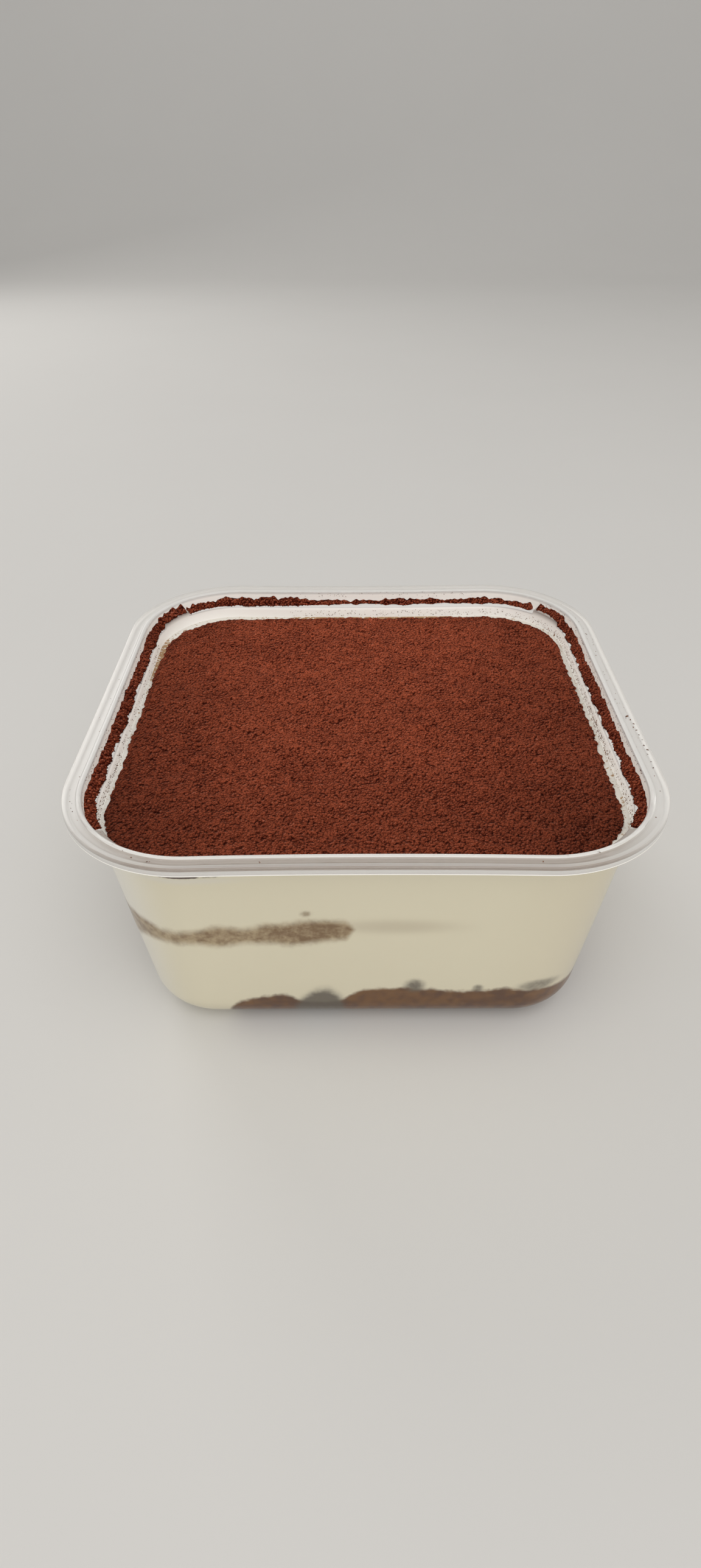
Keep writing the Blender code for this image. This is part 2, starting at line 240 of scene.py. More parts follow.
right, up, forward = camera_axes(YAW, PITCH, ROLL)
lens = bpy.data.cameras.new("lens")
lens.sensor_fit, lens.sensor_width = "AUTO", 36.0
lens.lens = FOCAL_PIXELS * 36.0 / max(IMAGE_WIDTH, IMAGE_HEIGHT)
lens.clip_start, lens.clip_end = 0.01, 20.0
eye = add_object("eye", lens)
set_pose(eye, right, up, -forward, CAMERA_PLACE * MM)
bpy.context.scene.camera = eye
print("lens:", round(lens.lens, 2), "mm")

# %% [markdown]
# ## Shader maths
# Finishes are built from nodes. Wiring them one by one is slow to write and hard to read, so a small class
# wraps an output socket: adding or multiplying two of them adds the Math node that does it. Everything else
# comes from one method, which makes a node, applies its settings and then fills or links its inputs.

# %% A readable way to write nodes
class Link:
    """An output socket. Arithmetic on links adds Math nodes to the finish."""

    def __init__(self, look, socket):
        self.look, self.socket = look, socket

    def math(self, kind, *values):
        """Adds a Math node of that kind and returns its result."""
        return self.look.node("ShaderNodeMath", {"operation": kind}, dict(enumerate(values)))[0]

    def __add__(self, other):
        return self.math("ADD", self, other)

    def __sub__(self, other):
        return self.math("SUBTRACT", self, other)

    def __rsub__(self, other):
        return self.math("SUBTRACT", other, self)

    def __mul__(self, other):
        return self.math("MULTIPLY", self, other)

    __radd__, __rmul__ = __add__, __mul__

    def high(self, other):
        """The larger of the two."""
        return self.math("MAXIMUM", self, other)


class Finish:
    """A material with an empty node tree and the few nodes that most finishes here share."""

    def __init__(self, name):
        self.material = bpy.data.materials.new(name)
        self.material.use_nodes = True
        self.tree = self.material.node_tree
        self.tree.nodes.clear()
        self.out = self.tree.nodes.new("ShaderNodeOutputMaterial")
        self.place = self.node("ShaderNodeTexCoord")["Object"]

    def node(self, kind, settings=None, inputs=None):
        """Adds a node and returns its outputs, which can be read by name or number."""
        made = self.tree.nodes.new(kind)
        for key, value in (settings or {}).items():
            setattr(made, key, value)
        for key, value in (inputs or {}).items():
            if isinstance(value, Link):
                self.tree.links.new(value.socket, made.inputs[key])
            else:
                made.inputs[key].default_value = value
        outputs = [Link(self, socket) for socket in made.outputs]
        return {**{each.socket.name: each for each in outputs[::-1]}, **dict(enumerate(outputs))}

    def moved(self, step_mm):
        """The place, moved by three distances in millimetres."""
        if step_mm is None:
            return self.place
        step = tuple(MM * part for part in step_mm)
        return self.node("ShaderNodeVectorMath", {"operation": "ADD"}, {0: self.place, 1: step})[0]

    def noise(self, size_mm, detail=2.0, roughness=0.5, step_mm=None):
        """Cloudy noise from 0 to 1 whose blobs are about that many millimetres across."""
        inputs = {"Vector": self.moved(step_mm), "Scale": 500.0 / size_mm, "Detail": detail}
        return self.node("ShaderNodeTexNoise", None, {**inputs, "Roughness": roughness})[0]

    def cells(self, size_mm, step_mm=None):
        """Scattered points in cells about that many millimetres across: the distance to the nearest one, and
        a colour of its own."""
        inputs = {"Vector": self.moved(step_mm), "Scale": 1000.0 / size_mm}
        return self.node("ShaderNodeTexVoronoi", {"feature": "F1"}, inputs)

    def mark(self, name):
        """A number that was stored on the mesh's points."""
        return self.node("ShaderNodeAttribute", {"attribute_name": name})["Fac"]

    def ramp(self, value, low, high, to_low=0.0, to_high=1.0):
        """Takes low to to_low and high to to_high along a soft curve, and holds the ends."""
        inputs = {0: value, 1: low, 2: high, 3: to_low, 4: to_high}
        return self.node("ShaderNodeMapRange", {"interpolation_type": "SMOOTHSTEP"}, inputs)[0]

    def blend(self, share, first, second):
        """A mix of two colours."""
        ends = {6: first if isinstance(first, Link) else (*first, 1.0)}
        ends[7] = second if isinstance(second, Link) else (*second, 1.0)
        return self.node("ShaderNodeMix", {"data_type": "RGBA"}, {0: share, **ends})[2]

    def bump(self, height, depth_mm, strength=1.0):
        """A normal from a height. A height of one stands for so many millimetres."""
        inputs = {"Height": height, "Distance": depth_mm * MM, "Strength": strength}
        return self.node("ShaderNodeBump", None, inputs)[0]

    def body(self, inputs):
        """A Principled shader."""
        return self.node("ShaderNodeBsdfPrincipled", None, inputs)[0]

    def done(self, shader):
        """Sends the shader to the surface and returns the material."""
        self.tree.links.new(shader.socket, self.out.inputs["Surface"])
        print(self.material.name, len(self.tree.nodes), "nodes")
        return self.material


# %% [markdown]
# ## Relief from noise
# Powder and crumb need real relief, not only shading. White noise that is blurred keeps only blobs of one
# size. The blur is done on the noise's waves: a Fourier transform lists them, a bell curve fades the short
# ones, and the inverse transform gives smooth hills back. The draw is seeded, so each run is the same.

# %% Blurred noise
def hills(shape, spacing, size, seed):
    """Noise on a grid with that spacing, blurred with a bell curve of that size, all in mm, and scaled to
    a spread of one."""
    draw = np.random.default_rng(seed).standard_normal(shape)
    down, across = (np.fft.fftfreq(count, spacing) for count in shape)
    waves = down[:, None] ** 2 + across[None, :] ** 2
    kept = np.fft.ifft2(np.fft.fft2(draw) * np.exp(-2 * (math.pi * size) ** 2 * waves)).real
    return (kept - kept.mean()) / kept.std()


def waver(count, length, size, seed):
    """The same along one closed line of that length."""
    return hills((1, count), length / count, size, seed)[0]


print("hills:", hills((64, 64), 0.5, 2.0, 1).std())

# %% [markdown]
# ## The tub
# The real tub is moulded in one go, with one wall thickness and small rounded edges everywhere. Bevelling a
# rough block would round all edges alike. Here the section is a list of corners, each with its own fillet,
# and a short curve replaces each corner. Carried round the plan, that gives lips, step and foot in one
# closed skin.

# %% Section of the tub
BEAD, FLANGE_WIDTH, SKIRT_DROP, FLANGE_DIP, STEP_Z = 0.9, 4.0, 1.95, 0.2, 58.2
EDGE = MOUTH_HALF + FLANGE_WIDTH


def tub_controls(place):
    """Rings at the corners of the section, from the middle of the base up the outside and down the inside.
    Each row of facts holds its corner's fillet in mm, then its milkiness, dust and greyness from 0 to 1."""
    lift = LUG_LIFT * lug_rise(place)
    inner_lift = lift * np.where(place[0] >= 2, FRONT_LUG_SHARE, 1.0)
    rings, facts = [], []

    def on_wall(z, inset, milk, dust=0.0, fillet=0.5, floor=0.0, foot=FOOT):
        rings.append(wall(place, z, inset, floor, foot))
        facts.append((fillet, milk, dust, 0.0))

    def on_rim(half, z, fillet, milk, dust=0.0, grey=0.0):
        rings.append(rim(place, half, z))
        facts.append((fillet, milk, dust, grey))

    for turn in range(0, 91, 10):
        on_wall(FOOT * (1 - math.cos(math.radians(turn))), 0.0, 0.012)
    for z in (14.0, 20.0, 28.0, 36.0, 44.0, 51.0):
        on_wall(z, 0.0, 0.012)
    on_wall(56.4, 0.0, 0.03, fillet=0.8)
    # The greyness column is painted shade: it darkens the flange's bands where the dark food and shadow show
    # through.
    for half, z, fillet, milk, dust, grey in (
        (MOUTH_HALF - 0.1, 57.1, 0.5, 0.3, 0.0, 0.3),
        (MOUTH_HALF + 0.5, 57.7, 0.5, 0.3, 0.0, 0.3),
        (MOUTH_HALF + 0.6, 60.9, 0.5, 0.3, 0.0, 0.3),
        (EDGE - WALL, RIM_HEIGHT - 1.0, 0.35, 0.3, 0.0, 0.3),
        (EDGE - WALL, RIM_HEIGHT - SKIRT_DROP, 0.12, 0.4, 0.0, 0.2),
        (EDGE, RIM_HEIGHT - SKIRT_DROP, 0.16, 0.95, 0.0, 0.0),
        (EDGE, RIM_HEIGHT - SKIRT_DROP + 0.24, 0.05, 0.95, 0.0, 0.0),
        (EDGE, RIM_HEIGHT - SKIRT_DROP + 0.32, 0.05, 0.75, 0.0, 0.22),
        (EDGE, RIM_HEIGHT - 0.72, 0.05, 0.75, 0.0, 0.04),
        (EDGE, RIM_HEIGHT - 0.6, 0.05, 0.66, 0.0, 1.0),
        (EDGE, RIM_HEIGHT, 0.5, 0.66, 0.0, 0.95),
        (EDGE - 0.6, RIM_HEIGHT, 0.2, 0.6, 0.0, 0.5),
        (EDGE - 1.0, RIM_HEIGHT - 0.03, 0.3, 0.6, 0.0, 0.4),
        (EDGE - 1.6, RIM_HEIGHT - FLANGE_DIP, 0.5, 0.62, 0.0, 0.85),
        (MOUTH_HALF + BEAD + 0.3, RIM_HEIGHT - FLANGE_DIP, 0.2, 0.62, 0.0, 1.0),
        (MOUTH_HALF + BEAD, RIM_HEIGHT, 0.2, 0.62, 0.1, 0.05),
        (MOUTH_HALF, RIM_HEIGHT, 0.45, 0.66, 0.4, 0.0),
        (MOUTH_HALF - 0.12, 60.6, 0.3, 0.85, 0.6, 0.0),
    ):
        on_rim(half, z, fillet, milk, dust, grey)
    on_rim(MOUTH_HALF - 0.25, STEP_Z + 0.35 + lift, 0.4, 0.9, 0.5)
    on_rim(MOUTH_HALF - 2.35, STEP_Z + inner_lift, 0.3, 0.95, 0.6)
    on_wall(57.3, WALL, 0.95, 0.5, 0.35)
    on_wall(55.7, WALL, 0.95, 0.8)
    on_wall(54.7, WALL, 0.95, 0.8, 0.1)
    on_wall(54.5, WALL, 0.02, 0.0, 0.1)
    for z in (51.0, 44.0, 36.0, 28.0, 20.0, 14.0):
        on_wall(z, WALL, 0.0)
    foot = FOOT - WALL
    for turn in range(90, -1, -10):
        on_wall(FLOOR + foot * (1 - math.cos(math.radians(turn))), WALL, 0.0, 0.0, 0.4, FLOOR, foot)
    return np.stack(rings), np.array(facts)


# %% Rounded corners
FILLET_STEPS = 4


def filleted(rings, fillets):
    """Replaces each inner corner of the section with a curve of a few points. The curve leaves one fillet
    length before the corner, or halfway to the next one if that is nearer, and bends towards the corner."""
    middle, before, after = rings[1:-1], rings[:-2] - rings[1:-1], rings[2:] - rings[1:-1]
    size = fillets[1:-1, None, None]
    ends = [
        middle + way * np.minimum(size / np.maximum(np.linalg.norm(way, axis=2, keepdims=True), 1e-6), 0.49)
        for way in (before, after)
    ]
    share = np.linspace(0, 1, FILLET_STEPS)[None, :, None, None]
    first, corner, last = ends[0][:, None], middle[:, None], ends[1][:, None]
    curve = (1 - share) ** 2 * first + 2 * share * (1 - share) * corner + share**2 * last
    return np.concatenate((rings[:1], curve.reshape(-1, *rings.shape[1:]), rings[-1:]))


# %% The tub in one skin
# How dusty the inside is at distances round the mouth: the back left is clean, and the right side the most.
DUST_ROUND = np.array((
    (0.0, 0.9), (18.0, 0.7), (32.0, 0.1), (140.0, 0.0), (152.0, 0.5), (175.0, 0.55), (205.0, 0.9),
    (230.0, 1.0), (255.0, 0.6), (325.0, 0.6), (345.0, 1.0), (400.0, 1.0), (436.0, 0.9),
))
# How grey the flange looks, as painted shade for the dark cocoa and shadow seen through it: most along the
# front, which has the dark cocoa behind it.
GREY_ROUND = np.array((
    (0.0, 0.2), (228.0, 0.22), (252.0, 1.15), (334.0, 1.15), (356.0, 0.2), (436.0, 0.2),
))


def make_tub():
    """The tub as one closed skin, with its milkiness, dust, greyness and glow stored on its points. The
    greyness is painted shade, and the glow is painted light.
    """
    place = places_at(tub_travel)
    controls, facts = tub_controls(place)
    rings = filleted(controls, facts[:, 0])
    shares = np.array((0.3, 0.6, 0.85))[:, None, None]
    base = rings[:1] * shares
    floor = rings[-1:] * shares[::-1]
    base[..., 2], floor[..., 2] = 0.0, FLOOR
    rings = np.concatenate((base, rings, floor))
    points, faces = closed_body(rings, (0, 0, 0), (0, 0, FLOOR))
    rows = np.concatenate((facts[[0] * 4], np.repeat(facts[1:-1], FILLET_STEPS, axis=0), facts[[-1] * 4]))
    around = np.ones_like(tub_travel)
    # Painted shade: greyness along the flange, most at the front; the step and its lugs get some too.
    grey = rows[:, 3:] * np.interp(tub_travel, *GREY_ROUND.T)
    on_step = (np.abs(rings[:, :1, 2] - STEP_Z) < 0.45) & (rows[:, 1:2] > 0.7)
    grey = np.maximum(grey, on_step * (0.12 + 0.6 * lug_rise(place)))
    marks = {
        "milk": rows[:, 1:2] * around, "grey": grey,
        "dust": rows[:, 2:3] * np.interp(tub_travel, *DUST_ROUND.T),
        # Painted light: the glow on the milky walls.
        "glow": smooth(rows[:, 1:2], 0.8, 0.84) * np.where(on_step, 0.0, 1.0) * around,
    }
    marks = {key: np.append(values.ravel(), (0, 0)) for key, values in marks.items()}
    return add_piece("clear_tub", points, faces, ["tub"], marks)


clear_tub = make_tub()

# %% [markdown]
# ## Where the layers meet
# Through the wall one sees where sponge and cream meet. The lines are neither level nor sharp: the lower
# sponge swells and dips and stops short of the front left corner, and the upper one shows only as a soft
# streak. Each line is a height for every station round the tub. Along the front it follows a short list of
# heights, and elsewhere it keeps a level with a slow waver.

# %% Lines between the layers
LAYER_COUNT = 640
layer_place = places_at(np.linspace(0, 4 * LAP, LAYER_COUNT, endpoint=False))
BOTTOM_LEVEL, MIDDLE_LEVEL, CREAM_TOP, CREAM_RING = 13.0, 35.7, 54.5, 55.0
edge_x, edge_y = wall(layer_place, np.full(LAYER_COUNT, 30.0), 0.0)[:, :2].T
on_front = 1 - smooth(edge_y, -40.0, -18.0)

BOTTOM_FRONT = np.array((
    (-36.4, 0.9), (-35.1, 4.5), (-33.3, 7.4), (-30.4, 9.7), (-26.8, 11.0), (-24.2, 11.5), (-22.2, 11.7),
    (-20.1, 12.2), (-18.1, 11.5), (-16.7, 10.2), (-15.2, 9.6), (-13.0, 9.2), (-9.0, 9.0), (-6.1, 9.5),
    (-4.9, 10.8), (-2.9, 12.7), (-0.4, 14.0), (3.2, 14.5), (6.2, 14.6), (9.2, 15.0), (15.8, 14.4),
    (18.3, 13.9), (21.4, 13.3), (24.9, 13.6), (29.4, 13.8), (33.4, 14.4), (35.4, 14.4), (38.7, 13.6),
    (41.5, 13.4), (44.5, 12.6), (46.3, 12.1), (48.5, 11.8), (50.0, 14.0), (51.5, 16.5),
))
STREAK_TOP = np.array((
    (-53.5, 36.8), (-51.2, 35.9), (-48.3, 36.3), (-46.0, 35.7), (-43.6, 34.8), (-40.2, 35.3), (-36.4, 36.3),
    (-33.8, 36.9), (-31.1, 37.6), (-28.2, 36.9), (-25.9, 36.7), (-23.1, 37.4), (-20.3, 38.3), (-17.3, 38.3),
    (-14.2, 39.0), (-11.9, 39.3), (-8.3, 39.2), (-5.1, 38.9), (-3.3, 38.6), (-1.5, 38.0), (-0.4, 37.4),
))
STREAK_LOW = np.array((
    (-53.5, 25.5), (-51.5, 26.7), (-50.0, 28.5), (-48.2, 30.3), (-45.9, 31.1), (-43.5, 31.4), (-40.1, 32.2),
    (-36.9, 32.3), (-33.3, 31.7), (-30.9, 31.4), (-26.7, 32.7), (-23.5, 32.6), (-20.1, 32.2), (-16.8, 31.9),
    (-13.8, 32.3), (-10.1, 32.9), (-7.0, 33.3), (-4.0, 33.8), (-2.7, 34.4), (-1.5, 34.9), (-0.4, 35.4),
))


def line_height(front, level, unrest, seed):
    """A height for each station: the front's list where the wall faces forward, and elsewhere a level with
    a waver of that size."""
    near_x = wall(layer_place, np.full(LAYER_COUNT, front[:, 1].mean()), WALL)[:, 0]
    other = level + unrest * waver(LAYER_COUNT, 4 * LAP, 7.0, seed)
    ahead = np.interp(near_x, front[:, 0], front[:, 1])
    ahead = ahead + 0.12 * waver(LAYER_COUNT, 4 * LAP, 0.9, seed + 1)
    return ahead * on_front + other * (1 - on_front)


# %% Ends of the streak
# The lower sponge's line, the streak's share of its full thickness, and where it lies hidden in the cream.
bottom_line = np.maximum(line_height(BOTTOM_FRONT, BOTTOM_LEVEL, 1.0, 11), FLOOR)
left_side = (1 - smooth(edge_y, -30.0, -14.0)) * (edge_x < 0)
streak_shown = left_side * (1 - smooth(edge_x, -4.4, 0.0))
streak_gone = 1 - (1 - smooth(edge_y, -14.0, -6.0)) * (edge_x < 0) * (1 - smooth(edge_x, -0.2, 1.6))
streak_top = line_height(STREAK_TOP, MIDDLE_LEVEL + 0.9, 0.5, 21)
streak_low = line_height(STREAK_LOW, MIDDLE_LEVEL - 0.9, 0.5, 31)
streak_middle = 0.5 * (streak_top + streak_low)
closed_top = streak_middle + (streak_top - streak_middle) * streak_shown
closed_low = streak_middle + (streak_low - streak_middle) * streak_shown
print("streak:", round((closed_top - closed_low).max(), 1), "mm at its thickest")

# %% [markdown]
# ## Sponge and cream
# Each layer fills the tub between two of those lines, and runs right through the food. One helper makes
# them all: rings spread over the underside, up the side along the wall, and back over the top. The side
# reaches a tenth of a millimetre into the plastic, because a gap of air would show as a grey veil.

# %% Layers
SINK = 0.1
SPREAD = np.array((0.02, 0.15, 0.3, 0.45, 0.6, 0.72, 0.82, 0.9, 0.95, 0.975, 0.988))


def against_wall(z, stand_in):
    """Points of the food's side at those heights, standing in from the wall by that much."""
    inset = WALL - SINK + stand_in
    return wall(layer_place, z, inset, FLOOR - SINK, FOOT - WALL + SINK)


def sheet(edge, level, edge_line, power):
    """Rings from the middle to the edge. The height goes from the layer's level in the middle to the edge's
    own line, and the power says how near the edge."""
    rings = edge[None] * SPREAD[:, None, None]
    share = SPREAD[:, None] ** power
    rings[..., 2] = level * (1 - share) + edge_line[None] * share
    return rings


def make_layer(name, low_line, high_line, levels, stand_in, rows, nodes, marks, powers=(12, 12)):
    """A closed layer between two lines. Each mark is a function of the points that gives the finish a
    number for each."""
    share = np.linspace(0, 1, rows)[:, None]
    z = low_line + (high_line - low_line) * share
    side = against_wall(z, stand_in)
    under = sheet(side[0], levels[0], low_line, powers[0])
    over = sheet(side[-1], levels[1], high_line, powers[1])[::-1]
    rings = np.concatenate((under, side, over))
    points, faces = closed_body(rings, (0, 0, levels[0]), (0, 0, levels[1]))
    stored = {key: read(points) for key, read in marks.items()}
    return add_piece(name, points, faces, nodes, stored, crease=35)


# %% [markdown]
# ## What the food's finish needs to know
# A pattern that only repeats over the surface can't follow a line that someone drew. So each point of the
# food stores a few numbers: how far it lies from either sponge, and how strongly each small patch that shows
# through the wall covers it. The finish turns them into colour.

# %% Distances from the sponge
def travel_of(points):
    """The station number nearest to each point, from its direction."""
    turn = np.arctan2(points[:, 1], points[:, 0])
    known = np.unwrap(np.arctan2(edge_y, edge_x))
    turn = np.where(turn < known[0], turn + 2 * math.pi, turn)
    return np.interp(turn, known, np.arange(LAYER_COUNT)) % (LAYER_COUNT - 1)


def line_at(line, points):
    """A line's height at each point."""
    return np.interp(travel_of(points), np.arange(LAYER_COUNT), line)


def above_bottom(points):
    """How far a point lies above the lower sponge, in mm."""
    return np.clip(points[:, 2] - line_at(bottom_line, points), -6, 6)


def past_streak(points, hidden):
    """How far a point lies outside the upper sponge's streak: beyond its thickness, and beyond its end. The
    end doesn't count where the sponge is hidden."""
    top, low = line_at(streak_top, points), line_at(streak_low, points)
    shown = line_at(np.maximum(streak_shown, hidden), points)
    past = np.abs(points[:, 2] - 0.5 * (top + low)) - 0.5 * (top - low)
    return np.clip(past + 5 * (1 - shown), -6, 6)


def off_streak(points):
    """The same for the cream, which hides the sponge beyond the streak's end."""
    return past_streak(points, 0.0)


# %% Patches on the front wall
def spot(points, x, z, wide, high):
    """One at the middle of an oval patch on the front wall, and nothing outside it."""
    reach = ((points[:, 0] - x) / wide) ** 2 + ((points[:, 2] - z) / high) ** 2
    return np.exp(-(reach**1.5)) * (points[:, 1] < -20)


def grey_patches(points):
    """Clear pockets against the wall, each with its strength: one in the sponge's dip, one on its right, and
    two small ones."""
    patches = (
        (1.5, -9.3, 5.0, 4.4, 8.9), (1.0, -13.2, 4.0, 3.5, 7.0), (0.66, 39.9, 15.3, 5.4, 2.5),
        (0.75, 11.4, 15.7, 2.7, 3.0), (0.7, 26.0, 14.7, 1.4, 1.7),
    )
    return np.clip(sum(strength * spot(points, *patch) for strength, *patch in patches), 0, 1)


def faint_shadow(points):
    """The upper sponge's shadow in the cream to the right of the streak, and a small dark spot above it."""
    ghost = spot(points, 6.0, 37.6, 13.0, 2.3) * 0.6
    return np.clip(ghost + spot(points, -12.5, 42.0, 0.9, 0.8) * 2.4, 0, 1.6)


def dark_thread(points):
    """A thin dark line high on the left of the front."""
    return spot(points, -41.0, 53.9, 14.0, 0.5)


def pale_lens(points):
    """A paler patch under that line, and the film of cream on the wall above the bed."""
    lens = spot(points, -37.0, 52.9, 11.0, 1.1) * (1 - dark_thread(points))
    return np.clip(0.6 * lens + smooth(points[:, 2], 54.25, 54.45), 0, 1)


def loose_cocoa(points):
    """How much loose cocoa lies on the cream's rim: most along the middle of the back and the back left."""
    back = smooth(points[:, 1], 40.0, 50.0) * (1 - smooth(np.abs(points[:, 0] - 4), 12.0, 30.0))
    left = smooth(-points[:, 0], 46.0, 50.0) * (1 - smooth(np.abs(points[:, 1] - 30), 4.0, 16.0))
    return smooth(points[:, 2], 54.3, 54.5) * np.clip(0.35 + back + left, 0, 1)


# %% The four layers
MIDDLE_HALF = 3.4
cream_marks = {
    "above_bottom": above_bottom, "off_streak": off_streak, "grey": grey_patches, "ghost": faint_shadow,
    "thread": dark_thread, "pale": pale_lens, "loose": loose_cocoa,
}
sponge_marks = {**cream_marks, "off_streak": lambda points: past_streak(points, streak_gone)}
floor_line = np.full(LAYER_COUNT, FLOOR - 0.05)
bottom_absent = smooth(2.0 - (bottom_line - FLOOR), 0.0, 2.0)
sponge_bottom = make_layer(
    "soaked_sponge_bottom", floor_line, np.maximum(bottom_line, FLOOR + 0.4), (FLOOR - 0.05, BOTTOM_LEVEL),
    9.0 * bottom_absent, 26, ["sponge_bottom"], cream_marks,
)
cream_lower = make_layer(
    "cream_below", np.where(bottom_absent > 0.5, floor_line, bottom_line - 0.05), closed_low,
    (BOTTOM_LEVEL, MIDDLE_LEVEL - MIDDLE_HALF), 0.0, 44, ["cream_lower"], cream_marks,
)
sponge_middle = make_layer(
    "soaked_sponge_middle", closed_low - 0.02, closed_top + 0.02,
    (MIDDLE_LEVEL - MIDDLE_HALF, MIDDLE_LEVEL + MIDDLE_HALF), 4.5 * streak_gone, 24,
    ["sponge_middle"], sponge_marks,
)
cream_upper = make_layer(
    "cream_above", closed_top - 0.02, np.full(LAYER_COUNT, CREAM_RING),
    (MIDDLE_LEVEL + MIDDLE_HALF, CREAM_TOP), 0.0, 40, ["cream_upper"], cream_marks, (12, 60),
)

# %% [markdown]
# ## The bed of cocoa
# Sieved cocoa lies in a soft, rippled bed with grains and small clumps. Rings that shrink to the middle
# would crowd their points there and starve the edge, so this piece uses a square grid that is bent into the
# rounded square: near the middle it stays square, and its border lies on the wall.

# %% Cocoa grid
GRID, EDGE_COUNT = 308, 1600
COCOA_EDGE, COCOA_LOW, BED_HALF = 55.6, 54.3, 56.3
# How far the cocoa's edge stands off the wall in mm, at distances round the mouth.
STAND_OFF = np.array((
    (0.0, 1.0), (30.0, 0.9), (50.0, 0.7), (75.0, 0.8), (100.0, 1.0), (112.0, 1.8), (130.0, 1.9),
    (148.0, 1.3), (165.0, 0.8), (185.0, 0.7), (212.0, 0.8), (226.0, 0.8), (238.0, 0.4), (258.0, 0.2),
    (325.0, 0.2), (338.0, 0.5), (348.0, 1.2), (357.0, 1.4), (372.0, 1.1), (400.0, 0.8), (436.0, 1.0),
))


def cocoa_plan():
    """Points of a square grid bent into the tub's plan. A point's ring is the larger of its two coordinates,
    and its place on the ring becomes a distance round the wall. The bend grows with the ring's square."""
    u, v = np.meshgrid(np.linspace(-1, 1, GRID), np.linspace(-1, 1, GRID), indexing="ij")
    ring = np.maximum(np.abs(u), np.abs(v))
    safe = np.maximum(ring, 1e-9)
    side = np.select([(v >= np.abs(u)), (-u >= np.abs(v)), (-v >= np.abs(u))], [0, 1, 2], 3)
    along = np.choose(side, (-u, -v, u, v)) / safe
    travel = (side + 0.5 * (along + 1)) * LAP + 0.5 * QUARTER
    off = np.interp(travel, *STAND_OFF.T)
    ragged = 0.16 * waver(EDGE_COUNT, 4 * LAP, 0.8, 40) + 0.12 * waver(EDGE_COUNT, 4 * LAP, 0.25, 47)
    ragged = np.interp(travel, np.linspace(0, 4 * LAP, EDGE_COUNT), ragged)
    inset = WALL + 0.04 + off + np.maximum(ragged + 0.1, -off)
    edge = wall(places_at(travel.ravel()), np.full(travel.size, COCOA_EDGE), inset.ravel())[:, :2]
    edge = edge.reshape(GRID, GRID, 2)
    flat = np.stack((u, v), -1) * BED_HALF
    share = (ring**2)[..., None]
    return flat * (1 - share) + edge * ring[..., None] * share, ring, off


cocoa_xy, cocoa_ring, cocoa_off = cocoa_plan()
print("cocoa spans", np.round(np.ptp(cocoa_xy.reshape(-1, 2), axis=0), 1), "mm")


# %% Cocoa relief
CLUMP_CELLS = 160


def clumps(x, y, cell, seed, fill=0.75):
    """Round grains: each cell of a loose grid holds one point, and a half ball stands round it. Its radius
    varies, and some cells hold none."""
    draw = np.random.default_rng(seed).random((CLUMP_CELLS, CLUMP_CELLS, 4))
    column, row = x / cell + CLUMP_CELLS // 2, y / cell + CLUMP_CELLS // 2
    best = np.zeros_like(x)
    for step_x in (-1, 0, 1):
        for step_y in (-1, 0, 1):
            i = np.clip(np.floor(column).astype(int) + step_x, 0, CLUMP_CELLS - 1)
            j = np.clip(np.floor(row).astype(int) + step_y, 0, CLUMP_CELLS - 1)
            near = draw[i, j]
            far = (column - i - near[..., 0]) ** 2 + (row - j - near[..., 1]) ** 2
            radius = (0.3 + 0.35 * near[..., 2]) * (near[..., 3] < fill)
            best = np.maximum(best, np.sqrt(np.maximum(radius**2 - far, 0)))
    return best * cell


def cocoa_height(x, y, ring, off):
    """The bed's height: a low swell, long ripples, soft hills, puffs, and grains. Puffs are the size of the
    noise without its sign, so they are round on top and meet in narrow creases. Where the edge stands off
    the wall it slopes down."""
    spacing = 112.0 / GRID
    shape = x.shape
    inside = 1 - smooth(ring, 0.88, 1.0)
    swell = 0.55 * np.cos(x * 0.028) * np.cos(y * 0.028)
    ripple = 0.20 * np.sin(x * 0.16 + y * 0.31 + 0.7) + 0.14 * np.sin(x * 0.42 - y * 0.13 + 2.0)
    soft = 0.20 * hills(shape, spacing, 3.4, 41) + 0.10 * hills(shape, spacing, 1.3, 42)
    puffs = 0.16 * np.abs(hills(shape, spacing, 0.7, 43)) + 0.13 * np.abs(hills(shape, spacing, 0.38, 46))
    grains = 0.45 * clumps(x, y, 1.5, 44, 0.12) + 0.45 * clumps(x, y, 0.9, 45, 0.35)
    relief = puffs + grains - 0.25
    border = smooth(ring, 0.95, 1.0)
    slope = 0.25 * smooth(ring, 0.85, 1.0) + np.minimum(off, 1) * 0.45 * smooth(ring, 0.975, 1.0)
    soft = soft * (0.35 + 0.65 * inside)
    return COCOA_EDGE + inside * (swell + ripple) + soft + relief * (1 - 0.6 * border) - slope, relief


# %% The cocoa bed
def cocoa_shade(x, y, ring):
    """Painted light and shade on the cocoa: lightest towards the back, where the window light falls, darker
    at the front and at both sides, and a little darker at the border.
    """
    light = 1 + 0.16 * smooth(y, -5, 38) - 0.22 * smooth(-y, 10, 50) - 0.26 * smooth(np.abs(x + 2), 18, 52)
    return light - 0.06 * smooth(ring, 0.93, 1.0)


